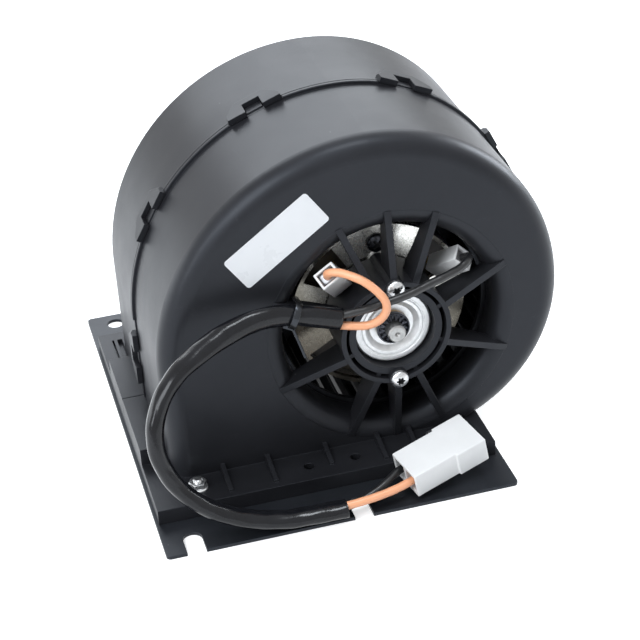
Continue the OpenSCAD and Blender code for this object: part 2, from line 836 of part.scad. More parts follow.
module armature_core() {
    slot_r = armature_r * 0.72;
    color([0.33, 0.33, 0.34]) on_wheel() difference() {
        pipe(armature_r, shaft_r, core_back, core_front);
        for (i = [0 : armature_slots - 1]) rotate(i * 360 / armature_slots) {
            translate([slot_r, 0, core_back - 1]) cylinder(r = 3.4, h = core_front - core_back + 2);
            translate([slot_r, -1, core_back - 1]) cube([armature_r, 2, core_front - core_back + 2]);
        }
    }
}

module armature_windings() {
    slot_r = armature_r * 0.72;
    end = 3;
    color([0.62, 0.33, 0.14]) on_wheel() {
        pipe(slot_r + 4, slot_r - 8, core_front, core_front + end);
        pipe(slot_r + 4, slot_r - 8, core_back - end, core_back);
        for (i = [0 : armature_slots - 1]) rotate(i * 360 / armature_slots)
            translate([slot_r, 0, core_back - 1]) cylinder(r = 3.2, h = core_front - core_back + 2);
    }
}

module commutator() {
    low = core_front + 3;
    color([0.66, 0.4, 0.2]) on_wheel() difference() {
        union() {
            pipe(commutator_r, shaft_r, low, motor_front - 2);
            pipe(commutator_r + 1.5, shaft_r, low, low + 0.7);
        }
        for (i = [0 : armature_slots - 1]) rotate((i + 0.5) * 360 / armature_slots)
            translate([commutator_r - bar_cut, -bar_gap / 2, low - 1])
                cube([commutator_r, bar_gap, motor_front]);
    }
}

module thrust_washer() {
    color([0.75, 0.7, 0.55]) on_wheel() pipe(bush_r, shaft_r, can_back + bush_r + 0.3, core_back - 3);
}

// Wheel: a disc with forward-curved blades on both sides, each row closed by a ring. It is one moulding, in
// three nodes so that collision stays open inside the blades
function blade_line(t) = 7 * t * t - 4.5 * t;

module blade_row(low, high) {
    steps = 3;
    side = blade_t / 2;
    translate([0, 0, low]) linear_extrude(high - low) for (i = [0 : blade_count - 1])
        rotate(i * 360 / blade_count) polygon([
            for (k = [0 : steps]) [wheel_in + blade_deep * k / steps, blade_line(k / steps) + side],
            for (k = [steps : -1 : 0]) [wheel_in + blade_deep * k / steps, blade_line(k / steps) - side]]);
}

module impeller() {
    color(plastic) on_wheel() {
        pipe(wheel_r + ring_over, shaft_r, disc_front - disc_t, disc_front);
        pipe(wheel_hub_r, shaft_r, -wheel_hub_back, disc_front - disc_t);
    }
}

module blade_ring(low, high) {
    pipe(wheel_r + ring_over, wheel_in - ring_in, low, high);
}

module impeller_front() {
    color(plastic) on_wheel() {
        blade_row(disc_front, wheel_front - ring_t);
        blade_ring(wheel_front - ring_t, wheel_front);
    }
}

module impeller_rear() {
    color(plastic) on_wheel() {
        blade_row(ring_t - wheel_back, disc_front - disc_t);
        blade_ring(-wheel_back, ring_t - wheel_back);
    }
}

module impeller_clip() {
    color(steel) on_wheel() difference() {
        pipe(wheel_hub_r - 3, shaft_r, -wheel_hub_back - 1.2, -wheel_hub_back);
        translate([0, -1.2, -wheel_hub_back - 2]) cube([wheel_hub_r, 2.4, 3]);
    }
}

// Smooth line through the points of a route, and a round tube along it
function spline(p, i, t) = let (a = p[max(i - 1, 0)], b = p[i], c = p[i + 1], d = p[min(i + 2, len(p) - 1)])
    0.5 * ((2 * b) + (c - a) * t + (2 * a - 5 * b + 4 * c - d) * t * t
    + (3 * b - a - 3 * c + d) * t * t * t);
function smooth(p, n) = [for (i = [0 : len(p) - 2], k = [0 : n - 1]) spline(p, i, k / n), p[len(p) - 1]];
function unit(v) = v / norm(v);
function along(p, i) = unit(p[min(i + 1, len(p) - 1)] - p[max(i - 1, 0)]);

module tube(p, r, sides, level) {
    n = len(p);
    points = [for (i = [0 : n - 1]) let (d = along(p, i), a = unit(cross(d, level)), b = cross(d, a))
        for (k = [0 : sides - 1]) p[i] + r * (a * cos(k * 360 / sides) + b * sin(k * 360 / sides))];
    faces = concat([[for (k = [sides - 1 : -1 : 0]) k]], [[for (k = [0 : sides - 1]) (n - 1) * sides + k]],
        [for (i = [0 : n - 2], k = [0 : sides - 1], half = [0, 1]) let (next = (k + 1) % sides)
            half == 0 ? [i * sides + k, i * sides + next, (i + 1) * sides + next]
            : [i * sides + k, (i + 1) * sides + next, (i + 1) * sides + k]]);
    polyhedron(points, faces, convexity = 6);
}

module lead(route, d, sides, steps) {
    on_plate() tube(smooth(route, steps), d / 2, sides, [0, 1, 0]);
}

module cable_sleeve() {
    color(black) lead(sleeve_route, sleeve_d, sleeve_sides, sleeve_steps);
}

module orange_lead() {
    color(orange) lead(orange_route, wire_d, wire_sides, wire_steps);
}

module black_lead() {
    color(black) lead(black_route, wire_d, wire_sides, wire_steps);
}

module orange_tail() {
    color(orange) lead(orange_tail_route, wire_d, wire_sides, wire_steps);
}

module black_tail() {
    color(black) lead(black_tail_route, wire_d, wire_sides, wire_steps);
}

// Cable tie: a belt round the sleeve and an arm, its head and its free end
function round_end(r, from, turn) = [for (k = [0 : belt_steps]) let (t = from + turn * k / belt_steps)
    r * [cos(t), sin(t)]];

module belt(r1, r2, d) {
    a = asin((r1 - r2) / d);
    over = [for (q = round_end(r1, -a, 180 + 2 * a)) [0, d] + q];
    polygon(concat(over, round_end(r2, 180 + a, 180 - 2 * a)));
}

module cable_tie() {
    big = sleeve_d / 2 + sleeve_play;
    small = arm_w / 2 + tie_play;
    head_in = small + (big - small) * tie_head_z / tie_reach + tie_t * 0.7;
    color(black) on_wheel() rotate(tie_arm) translate([tie_at, 0, tie_back])
    rotate([tie_lean, tie_tilt, 0]) {
        rotate([90, 0, 90]) translate([0, 0, -tie_w / 2]) linear_extrude(tie_w) difference() {
            belt(big + tie_t, small + tie_t, tie_reach);
            belt(big, small, tie_reach);
        }
        translate([-tie_head[0] / 2, head_in, tie_head_z]) cube(tie_head);
        translate([0, head_in + tie_head[1] / 2, tie_head_z + tie_head[2] / 3]) rotate(tie_end_turn)
            cube([tie_long, tie_t, tie_w]);
    }
}

// Plug: two cells with a contact in each, a wider front half
module on_plug() {
    on_plate() translate(plug_at) rotate(plug_turn) children();
}

module plug_housing() {
    color(white) on_plug() difference() {
        union() {
            translate([-plug_long / 2, -plug_w / 2, -plug_h / 2]) cube([plug_long, plug_w, plug_h]);
            translate([plug_step_at, -plug_w / 2 - plug_step, -plug_h / 2])
                cube([plug_long / 2 - plug_step_at, plug_w + 2 * plug_step, plug_h]);
        }
        for (s = [-1, 1])
            translate([-plug_long / 2 - 1, s * plug_pitch / 2 - plug_cell[0] / 2, -plug_cell[1] / 2])
                cube([plug_deep + 1, plug_cell[0], plug_cell[1]]);
    }
}

module plug_terminals() {
    color(brass) on_plug() for (s = [-1, 1])
        translate([contact_from - plug_long / 2, s * plug_pitch / 2 - contact_w / 2, -plug_cell[1] / 2])
            cube([plug_deep - contact_from, contact_w, contact_h]);
}

mounting_plate();
plate_studs();
foot_nuts();
front_shell();
front_inlet();
motor_carrier();
rear_shell();
rear_inlet();
label();
spider_screws();
motor_can();
motor_end_plate();
motor_tie_screws();
bearing_cup();
front_bearing();
rear_bearing();
magnets();
brush_card();
brush_holders();
brushes();
brush_springs();
terminal_tabs();
terminal_housing_left();
terminal_housing_right();
shaft();
retaining_ring();
armature_core();
armature_windings();
commutator();
thrust_washer();
impeller();
impeller_front();
impeller_rear();
impeller_clip();
cable_tie();
cable_sleeve();
orange_lead();
black_lead();
orange_tail();
black_tail();
plug_housing();
plug_terminals();
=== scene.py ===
"""Looks of a blower with its own motor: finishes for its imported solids, leads, small pieces and a studio."""
import json

import bmesh
import bpy
import numpy as np
from mathutils import Matrix, Vector


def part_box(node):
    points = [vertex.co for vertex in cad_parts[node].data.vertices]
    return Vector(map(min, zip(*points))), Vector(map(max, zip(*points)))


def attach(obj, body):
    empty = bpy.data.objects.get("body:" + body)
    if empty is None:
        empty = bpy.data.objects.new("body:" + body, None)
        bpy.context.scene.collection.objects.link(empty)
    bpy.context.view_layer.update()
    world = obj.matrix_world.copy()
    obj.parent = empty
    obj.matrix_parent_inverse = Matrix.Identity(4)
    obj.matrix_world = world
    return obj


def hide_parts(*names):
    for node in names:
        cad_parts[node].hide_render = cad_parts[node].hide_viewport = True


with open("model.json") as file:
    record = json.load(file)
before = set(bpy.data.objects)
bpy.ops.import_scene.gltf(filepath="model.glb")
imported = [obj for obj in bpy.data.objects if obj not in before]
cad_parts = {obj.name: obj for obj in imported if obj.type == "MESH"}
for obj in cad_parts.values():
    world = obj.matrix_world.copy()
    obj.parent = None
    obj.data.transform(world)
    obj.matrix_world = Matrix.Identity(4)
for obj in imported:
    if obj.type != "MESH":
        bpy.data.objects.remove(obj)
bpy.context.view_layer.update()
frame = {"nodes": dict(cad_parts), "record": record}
nodes = frame["nodes"]
record = frame["record"]
mm = 0.001

# Places in the row frame, in metres
plate_low, plate_high = (np.array(corner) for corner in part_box("mounting_plate"))
plate_mid = np.array([(plate_low[0] + plate_high[0]) / 2, 0, 0])
wheel_axis = np.array(record["behaviour"]["joints"][0]["pos_m"])

# Camera, fitted to the photograph's frame of 640 by 640, from the middle of the plate
camera_place = Vector((-0.1512, -0.7223, 0.4769))
camera_aim = Vector((0.0225, 0.0149, 0.0288))
camera_lean = np.radians(-4.04)


def aim_camera():
    """A camera before the left front corner of the plate that looks down at the motor and leans a little."""
    data = bpy.data.cameras.new("camera")
    data.sensor_fit = "HORIZONTAL"
    data.sensor_width = 36
    data.lens = 105.46
    data.clip_end = 20
    camera = bpy.data.objects.new("camera", data)
    bpy.context.scene.collection.objects.link(camera)
    turn = (camera_aim - camera_place).to_track_quat("-Z", "Y").to_matrix()
    turn = (turn @ Matrix.Rotation(camera_lean, 3, "Z")).to_4x4()
    camera.matrix_world = Matrix.Translation(camera_place + Vector(plate_mid)) @ turn
    bpy.context.scene.camera = camera


# Surfaces
def face_outwards(mesh):
    """Turn the faces of closed shells outwards."""
    work = bmesh.new()
    work.from_mesh(mesh)
    bmesh.ops.recalc_face_normals(work, faces=work.faces)
    work.to_mesh(mesh)
    work.free()


def new_piece(name, points, faces, body, slot):
    """A smooth mesh piece at the origin that rides on a body and takes the finish of a slot."""
    mesh = bpy.data.meshes.new(name)
    mesh.from_pydata(np.asarray(points).reshape(-1, 3).tolist(), [], faces)
    face_outwards(mesh)
    mesh.polygons.foreach_set("use_smooth", np.ones(len(mesh.polygons), bool))
    mesh.update()
    piece = bpy.data.objects.new(name, mesh)
    bpy.context.scene.collection.objects.link(piece)
    mesh.materials.append(finishes[slot])
    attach(piece, body)
    return piece


def full_turn(columns):
    """Even angles of a whole turn."""
    return np.linspace(0, 2 * np.pi, columns, endpoint=False)


def tube_faces(rows, columns):
    """Quads of a grid whose columns close on themselves, with both end rows capped."""
    ends = [list(range(columns - 1, -1, -1)), list(range((rows - 1) * columns, rows * columns))]
    return wrapped_quads(rows - 1, rows, columns) + ends


def ring_faces(rows, columns):
    """Quads of a grid that closes on itself both ways."""
    return wrapped_quads(rows, rows, columns)


def wrapped_quads(spans, rows, columns):
    """Quads between each row and the next, for so many spans; columns and rows wrap round."""
    row, column = np.meshgrid(np.arange(spans), np.arange(columns), indexing="ij")
    after, above = (column + 1) % columns, (row + 1) % rows
    quads = np.stack([row * columns + column, row * columns + after,
                      above * columns + after, above * columns + column], -1)
    return quads.reshape(-1, 4).tolist()


def smooth_route(knots, steps):
    """Points of a Catmull-Rom line: each span is a cubic of its two ends and their neighbours."""
    p = np.asarray(knots, float)
    a, b, c, d = np.vstack([p[:1], p[:-2]]), p[:-1], p[1:], np.vstack([p[2:], p[-1:]])
    a, b, c, d = (x[:, None, :] for x in (a, b, c, d))
    t = (np.arange(steps) / steps)[None, :, None]
    line = 0.5 * (2 * b + (c - a) * t + (2 * a - 5 * b + 4 * c - d) * t ** 2
                  + (3 * b - a - 3 * c + d) * t ** 3)
    return np.vstack([line.reshape(-1, 3), p[-1:]])


def even_route(knots, gap):
    """The smooth route with its points an even gap apart, and how far along it each of them is."""
    line = smooth_route(knots, 40)
    far = np.concatenate([[0], np.cumsum(np.linalg.norm(np.diff(line, axis=0), axis=1))])
    at = np.linspace(0, far[-1], int(far[-1] / gap) + 1)
    return np.stack([np.interp(at, far, line[:, k]) for k in range(3)], 1), at


def swept(line, wide, thick, turn):
    """An oval of half sizes wide and thick, turned by an angle, carried along a route: a row for each point.

    The first direction across the route is level with Y, and the second stands on both."""
    along = np.gradient(line, axis=0)
    along /= np.linalg.norm(along, axis=1)[:, None]
    side = np.cross(along, [0, 1, 0])
    side /= np.linalg.norm(side, axis=1)[:, None]
    up = np.cross(along, side)
    angle = full_turn(wide.shape[1])[None, :]
    x, y = wide * np.cos(angle), thick * np.sin(angle)
    c, s = np.cos(turn)[:, None], np.sin(turn)[:, None]
    across, lift = x * c - y * s, x * s + y * c
    return line[:, None, :] + across[..., None] * side[:, None, :] + lift[..., None] * up[:, None, :]


# Node groups that more than one finish uses
def new_group(name, inputs, outputs):
    """An empty shader node group with a vector input, float inputs and float outputs."""
    group = bpy.data.node_groups.new(name, "ShaderNodeTree")
    group.interface.new_socket("Vector", in_out="INPUT", socket_type="NodeSocketVector")
    for label, value in inputs:
        socket = group.interface.new_socket(label, in_out="INPUT", socket_type="NodeSocketFloat")
        socket.default_value = value
    for label in outputs:
        group.interface.new_socket(label, in_out="OUTPUT", socket_type="NodeSocketFloat")
    return group, group.nodes.new("NodeGroupInput"), group.nodes.new("NodeGroupOutput")


def add(tree, kind, links=(), **settings):
    """A node with its settings and input values, linked from the given (socket name, source) pairs."""
    node = tree.nodes.new("ShaderNode" + kind)
    values = settings.pop("values", {})
    for key, value in settings.items():
        setattr(node, key, value)
    for key, value in values.items():
        node.inputs[key].default_value = value
    for key, source in links:
        tree.links.new(source, node.inputs[key])
    return node


def moulded_grain():
    """Grain of a spark-eroded mould: fine noise for the height, broad noise for the tone."""
    group, ins, outs = new_group("Moulded grain", [("Grain", 3200), ("Broad", 30)], ["Height", "Tone"])
    fine = add(group, "TexNoise", [("Vector", ins.outputs["Vector"]), ("Scale", ins.outputs["Grain"])],
               values={"Detail": 3, "Roughness": 0.6})
    broad = add(group, "TexNoise", [("Vector", ins.outputs["Vector"]), ("Scale", ins.outputs["Broad"])],
                values={"Detail": 5, "Roughness": 0.62})
    tone = add(group, "MapRange", [("Value", broad.outputs["Fac"])],
               values={"From Min": 0.32, "From Max": 0.68})
    group.links.new(fine.outputs["Fac"], outs.inputs["Height"])
    group.links.new(tone.outputs["Result"], outs.inputs["Tone"])
    return group


def handling_marks():
    """Rubs and dust from handling: stretched noise cut to thin streaks, and sparse cells cut to specks."""
    group, ins, outs = new_group("Handling marks", [("Streaks", 60), ("Specks", 160)], ["Rub", "Dust"])
    stretch = add(group, "VectorMath", [(0, ins.outputs["Vector"])], operation="MULTIPLY")
    stretch.inputs[1].default_value = (1.0, 0.12, 1.6)
    streak = add(group, "TexNoise", [("Vector", stretch.outputs[0]), ("Scale", ins.outputs["Streaks"])],
                 values={"Detail": 9, "Roughness": 0.78, "Distortion": 0.6})
    rub = add(group, "MapRange", [("Value", streak.outputs["Fac"])],
              values={"From Min": 0.6, "From Max": 0.76})
    cells = add(group, "TexVoronoi", [("Vector", ins.outputs["Vector"]), ("Scale", ins.outputs["Specks"])])
    dust = add(group, "MapRange", [("Value", cells.outputs["Distance"])],
               values={"From Min": 0.07, "From Max": 0.03})
    some = add(group, "Math", [(0, cells.outputs["Color"])], operation="GREATER_THAN")
    some.inputs[1].default_value = 0.8
    both = add(group, "Math", [(0, dust.outputs["Result"]), (1, some.outputs[0])], operation="MULTIPLY")
    group.links.new(rub.outputs["Result"], outs.inputs["Rub"])
    group.links.new(both.outputs[0], outs.inputs["Dust"])
    return group


def plating_bloom():
    """Bloom of a plated or rolled face: fine mottling over broad clouds, both of them noise."""
    group, ins, outs = new_group("Plating bloom", [("Mottle", 900), ("Cloud", 70)], ["Bloom", "Height"])
    fine = add(group, "TexNoise", [("Vector", ins.outputs["Vector"]), ("Scale", ins.outputs["Mottle"])],
               values={"Detail": 3, "Roughness": 0.6})
    cloud = add(group, "TexNoise", [("Vector", ins.outputs["Vector"]), ("Scale", ins.outputs["Cloud"])],
                values={"Detail": 5, "Roughness": 0.65})
    grey = add(group, "Math", [(0, fine.outputs["Fac"]), (1, cloud.outputs["Fac"])], operation="ADD")
    bloom = add(group, "MapRange", [("Value", grey.outputs[0])], values={"From Min": 0.75, "From Max": 1.25})
    group.links.new(bloom.outputs["Result"], outs.inputs["Bloom"])
    group.links.new(fine.outputs["Fac"], outs.inputs["Height"])
    return group


def turning_rings():
    """Tool rings of a turned or spun face: noise that changes with the distance from the wheel's axis."""
    group, ins, outs = new_group("Turning rings", [("Rings", 2600)], ["Height", "Tone"])
    flat = add(group, "VectorMath", [(0, ins.outputs["Vector"])], operation="MULTIPLY_ADD")
    flat.inputs[1].default_value = (1, 0, 1)
    flat.inputs[2].default_value = (-wheel_axis[0], 0, -wheel_axis[2])
    far = add(group, "VectorMath", [(0, flat.outputs[0])], operation="LENGTH")
    ring = add(group, "TexNoise", [("W", far.outputs["Value"]), ("Scale", ins.outputs["Rings"])],
               noise_dimensions="1D", values={"Detail": 4, "Roughness": 0.7})
    broad = add(group, "TexNoise", [("W", far.outputs["Value"])], noise_dimensions="1D",
                values={"Scale": 500, "Detail": 2})
    group.links.new(ring.outputs["Fac"], outs.inputs["Height"])
    group.links.new(broad.outputs["Fac"], outs.inputs["Tone"])
    return group


groups = {
    "grain": moulded_grain(),
    "marks": handling_marks(),
    "bloom": plating_bloom(),
    "rings": turning_rings(),
}


# Finishes
class Finish:
    """One material: a Principled shader with colour, roughness and normal from noise on Object places."""

    def __init__(self, name, rough, metal=0.0, ior=1.5, gloss=0.5, tint=(1, 1, 1)):
        self.material = bpy.data.materials.new(name)
        self.material.use_nodes = True
        self.tree = self.material.node_tree
        self.shader = self.tree.nodes["Principled BSDF"]
        self.shader.inputs["Roughness"].default_value = rough
        self.shader.inputs["Metallic"].default_value = metal
        self.shader.inputs["IOR"].default_value = ior
        self.shader.inputs["Specular IOR Level"].default_value = gloss
        self.shader.inputs["Specular Tint"].default_value = (*tint, 1)
        self.place = self.tree.nodes.new("ShaderNodeTexCoord").outputs["Object"]

    def group(self, key, **values):
        """The outputs of a shared node group, placed here with its own values."""
        node = self.tree.nodes.new("ShaderNodeGroup")
        node.node_tree = groups[key]
        for label, value in values.items():
            node.inputs[label].default_value = value
        self.tree.links.new(self.place, node.inputs["Vector"])
        return node.outputs

    def blend(self, mask, low, high):
        """A colour between low and high by a mask; low may be another node's colour."""
        node = add(self.tree, "Mix", data_type="RGBA")
        self.tree.links.new(mask, node.inputs["Factor"])
        for key, value in (("A", low), ("B", high)):
            socket = next(s for s in node.inputs if s.name == key and s.type == "RGBA")
            if isinstance(value, tuple):
                socket.default_value = (*value, 1)
            else:
                self.tree.links.new(value, socket)
        return next(s for s in node.outputs if s.type == "RGBA")

    def colour(self, source):
        """Take the base colour from a node's output."""
        self.tree.links.new(source, self.shader.inputs["Base Color"])

    def roughness(self, mask, low, high):
        """Let the roughness go from low to high with a mask."""
        node = add(self.tree, "MapRange", [("Value", mask)], values={"To Min": low, "To Max": high})
        self.tree.links.new(node.outputs["Result"], self.shader.inputs["Roughness"])

    def relief(self, height, strength, depth, edge=0.0):
        """Bump from a height, over normals that round the edges off by a radius."""
        bump = add(self.tree, "Bump", [("Height", height)], values={"Strength": strength, "Distance": depth})
        if edge:
            bevel = add(self.tree, "Bevel", samples=4, values={"Radius": edge})
            self.tree.links.new(bevel.outputs["Normal"], bump.inputs["Normal"])
        self.tree.links.new(bump.outputs["Normal"], self.shader.inputs["Normal"])


def plastic(name, dark, light, rough, grain, depth, edge, gloss=0.5, sheen=0.0):
    """Moulded plastic: grained, with cloudy tone, paler where it has been rubbed, and a little dust."""
    f = Finish(name, rough, ior=1.5, gloss=gloss, tint=(0.8, 0.87, 1))
    f.shader.inputs["Coat Weight"].default_value = sheen
    f.shader.inputs["Coat Roughness"].default_value = 0.26
    g, m = f.group("grain", Grain=grain), f.group("marks")
    worn = tuple(1.6 * c for c in light)
    dusty = tuple(0.06 + c for c in light)
    rubbed = f.blend(m["Rub"], f.blend(g["Tone"], dark, light), worn)
    f.colour(f.blend(m["Dust"], rubbed, dusty))
    f.roughness(g["Tone"], rough - 0.04, rough + 0.04)
    f.relief(g["Height"], 0.5, depth, edge)
    return f.material


# Where the motor's end plate is lit, and how far from there its painted shade starts and is full
lit_place = wheel_axis + np.array([8, -40, 30]) * mm
shade_starts = 0.018
shade_full = 0.05


def plated(name, dull, bright, rough, mottle, edge, painted_shade=None):
    """Plated or rolled steel: bloom in colour and gloss, and a slightly uneven face.

    Painted shade, where there is one, grows with the distance from the lit place."""
    f = Finish(name, rough, metal=1.0)
    b = f.group("bloom", Mottle=mottle)
    colour = f.blend(b["Bloom"], dull, bright)
    # Painted shade: the colour darkens from the lit place outwards, towards the shade colour.
    if painted_shade:
        away = add(f.tree, "VectorMath", [(0, f.place)], operation="DISTANCE")
        away.inputs[1].default_value = lit_place
        mask = add(f.tree, "MapRange", [("Value", away.outputs["Value"])],
                   interpolation_type="SMOOTHSTEP",
                   values={"From Min": shade_starts, "From Max": shade_full})
        colour = f.blend(mask.outputs["Result"], colour, painted_shade)
    f.colour(colour)
    f.roughness(b["Bloom"], rough + 0.1, rough - 0.06)
    f.relief(b["Height"], 0.2, 0.0001, edge)
    return f.material


def turned(name, dull, bright, rough, rings, edge):
    """Turned or spun steel: tool rings round the wheel's axis."""
    f = Finish(name, rough, metal=1.0)
    r = f.group("rings", Rings=rings)
    b = f.group("bloom", Mottle=600)
    f.colour(f.blend(b["Bloom"], dull, bright))
    f.roughness(r["Tone"], rough - 0.05, rough + 0.1)
    f.relief(r["Height"], 0.25, 0.00008, edge)
    return f.material


def vinyl(name, dark, light, rough, depth, gloss=0.5):
    """Soft vinyl insulation: faint mottling and an uneven drawn surface."""
    f = Finish(name, rough, ior=1.5, gloss=gloss)
    g = f.group("grain", Grain=900, Broad=120)
    f.colour(f.blend(g["Tone"], dark, light))
    f.roughness(g["Tone"], rough - 0.04, rough + 0.08)
    f.relief(g["Height"], 0.35, depth)
    return f.material


def pale_nylon(name, shade, white, rough):
    """Pale nylon: light goes a little way in, with faint flow marks."""
    f = Finish(name, rough, ior=1.53)
    g = f.group("grain", Grain=1500, Broad=90)
    f.shader.inputs["Subsurface Weight"].default_value = 0.15
    f.shader.inputs["Subsurface Radius"].default_value = (1, 1, 1)
    f.shader.inputs["Subsurface Scale"].default_value = 0.0012
    f.colour(f.blend(g["Tone"], shade, white))
    f.roughness(g["Tone"], rough - 0.05, rough + 0.06)
    f.relief(g["Height"], 0.2, 0.00006)
    return f.material


def make_finishes():
    """A finish for each material slot of the record, and a duller turned one for the shaft.

    The radii, fine and soft, are those by which the edges are rounded."""
    fine, soft = 0.0002, 0.0005
    return {
        "black_plastic": plastic("black_plastic", (0.010, 0.010, 0.0115), (0.014, 0.014, 0.016), 0.44, 3200,
                                 0.00004, soft, 0.24, 0.08),
        "wheel_plastic": plastic("wheel_plastic", (0.009, 0.009, 0.010), (0.013, 0.013, 0.014), 0.42, 2500,
                                 0.00004, fine, 0.3),
        "plate_paint": plastic("plate_paint", (0.010, 0.011, 0.013), (0.014, 0.015, 0.018), 0.4, 1400,
                               0.00005, fine, 0.3),
        "tie_nylon": plastic("tie_nylon", (0.009, 0.009, 0.009), (0.013, 0.013, 0.013), 0.26, 1800,
                             0.00002, fine),
        "carbon": plastic("carbon", (0.02, 0.02, 0.02), (0.035, 0.034, 0.033), 0.6, 2400, 0.00006, fine),
        "card_resin": plastic("card_resin", (0.05, 0.04, 0.03), (0.08, 0.065, 0.045), 0.55, 1600,
                              0.00005, fine),
        "washer_plastic": plastic("washer_plastic", (0.5, 0.46, 0.33), (0.6, 0.56, 0.42), 0.5, 1800,
                                  0.00004, fine),
        "ferrite": plastic("ferrite", (0.05, 0.05, 0.052), (0.085, 0.085, 0.088), 0.6, 1500, 0.0001, soft),
        "zinc_steel": plated("zinc_steel", (0.5, 0.51, 0.52), (0.72, 0.73, 0.74), 0.3, 900, fine),
        # The motor's end plate takes painted shade away from its lit place.
        "yellow_steel": plated("yellow_steel", (0.62, 0.6, 0.55), (0.84, 0.84, 0.81), 0.26, 700, fine,
                               painted_shade=(0.13, 0.12, 0.1)),
        "black_steel": plated("black_steel", (0.03, 0.032, 0.038), (0.07, 0.073, 0.085), 0.28, 900, fine),
        "core_steel": plated("core_steel", (0.2, 0.2, 0.21), (0.32, 0.32, 0.33), 0.45, 700, fine),
        "bright_steel": turned("bright_steel", (0.68, 0.69, 0.7), (0.78, 0.79, 0.8), 0.5, 2600, soft),
        "shaft_steel": turned("shaft_steel", (0.3, 0.3, 0.3), (0.44, 0.44, 0.43), 0.38, 2600, fine),
        "bronze": turned("bronze", (0.3, 0.21, 0.12), (0.42, 0.31, 0.18), 0.5, 2000, fine),
        "brass": plated("brass", (0.52, 0.37, 0.14), (0.7, 0.54, 0.26), 0.32, 900, fine),
        "copper": plated("copper", (0.42, 0.19, 0.08), (0.66, 0.33, 0.17), 0.35, 900, fine),
        "white_nylon": pale_nylon("white_nylon", (0.72, 0.71, 0.7), (0.755, 0.745, 0.735), 0.38),
        "label_film": pale_nylon("label_film", (0.78, 0.78, 0.79), (0.8, 0.8, 0.81), 0.3),
        "sleeve_vinyl": vinyl("sleeve_vinyl", (0.006, 0.0062, 0.0078), (0.0095, 0.0098, 0.012), 0.14,
                              0.00008, 0.28),
        "orange_vinyl": vinyl("orange_vinyl", (0.82, 0.37, 0.195), (0.87, 0.41, 0.225), 0.32, 0.0001),
        "black_vinyl": vinyl("black_vinyl", (0.011, 0.011, 0.012), (0.016, 0.016, 0.017), 0.3, 0.0001),
    }


finishes = make_finishes()


def dress_solids():
    """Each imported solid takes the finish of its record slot; the shaft is ground duller than the cup."""
    for part in record["subparts"]:
        mesh = nodes[part["node"]].data
        mesh.materials.clear()
        mesh.materials.append(finishes[part["material_slot"]])
    nodes["shaft"].data.materials[0] = finishes["shaft_steel"]


# Small pieces that the solids give only in outline
slots = {part["node"]: part["material_slot"] for part in record["subparts"]}
bodies = {node: body for body, held in record["behaviour"]["bodies"].items() for node in held}


def from_wheel(points):
    """Places to the right of, above and before the wheel's middle, in millimetres, in the row frame."""
    x, y, z = np.moveaxis(np.asarray(points), -1, 0)
    return wheel_axis + np.stack([x, -z, y], -1) * mm


def round_axis(rows, angle):
    """A row of points for each radius and height: x = r cos a, y = r sin a, z = the height."""
    r, z = (np.stack([np.broadcast_to(value, angle.shape) for value in column]) for column in zip(*rows))
    return np.stack([r * np.cos(angle), r * np.sin(angle), z], -1)


def many(points, faces, places):
    """The same points and faces at several places, numbered on."""
    points = np.asarray(points).reshape(-1, 3)
    moved = np.concatenate([points + place for place in np.asarray(places, float)])
    step = len(points)
    return moved, [[corner + step * k for corner in face] for k in range(len(places)) for face in faces]


def stand_in(node, points, faces):
    """A new piece in place of a solid, on its body and in its slot, with crisp edges."""
    crisp_from = np.radians(32)
    piece = new_piece(node + "_piece", points, faces, bodies[node], slots[node])
    piece.data.set_sharp_from_angle(angle=crisp_from)
    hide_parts(node)
    return piece


def rounded_copy(node, radius):
    """A merged copy of a solid with its edges rounded off by a Bevel."""
    mesh = nodes[node].data.copy()
    work = bmesh.new()
    work.from_mesh(mesh)
    bmesh.ops.remove_doubles(work, verts=work.verts, dist=1e-6)
    bmesh.ops.dissolve_limit(work, angle_limit=np.radians(0.5), verts=work.verts, edges=work.edges)
    work.to_mesh(mesh)
    work.free()
    mesh.materials.clear()
    mesh.materials.append(finishes[slots[node]])
    mesh.polygons.foreach_set("use_smooth", np.ones(len(mesh.polygons), bool))
    piece = bpy.data.objects.new(node + "_rounded", mesh)
    bpy.context.scene.collection.objects.link(piece)
    round_off = piece.modifiers.new("edges", "BEVEL")
    round_off.width = radius
    round_off.segments = 3
    round_off.limit_method = "ANGLE"
    round_off.angle_limit = np.radians(40)
    round_off.harden_normals = True
    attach(piece, bodies[node])
    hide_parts(node)
    return piece


def screw_rows(drive, head_r, shank_r, long):
    """Radii and heights of a screw from the middle of its drive outwards.

    They are the floor and wall of the drive, a head that falls from its top to its rim as an ellipse, the
    seat at height 0, and the shank."""
    top, rim, deep = 3, 0.9, 2.3
    floor = top - deep
    across = [drive + (head_r - drive) * t for t in np.sin(np.linspace(0, np.pi / 2, 9))]
    rows = [(0.2 * drive, floor), (0.94 * drive, floor)]
    rows += [(r, rim + (top - rim) * np.sqrt(1 - np.clip(r / head_r, 0, 1) ** 2)) for r in across]
    return rows + [(head_r, 0), (shank_r, 0), (shank_r, 1 - long), (shank_r - 0.5, -long)]


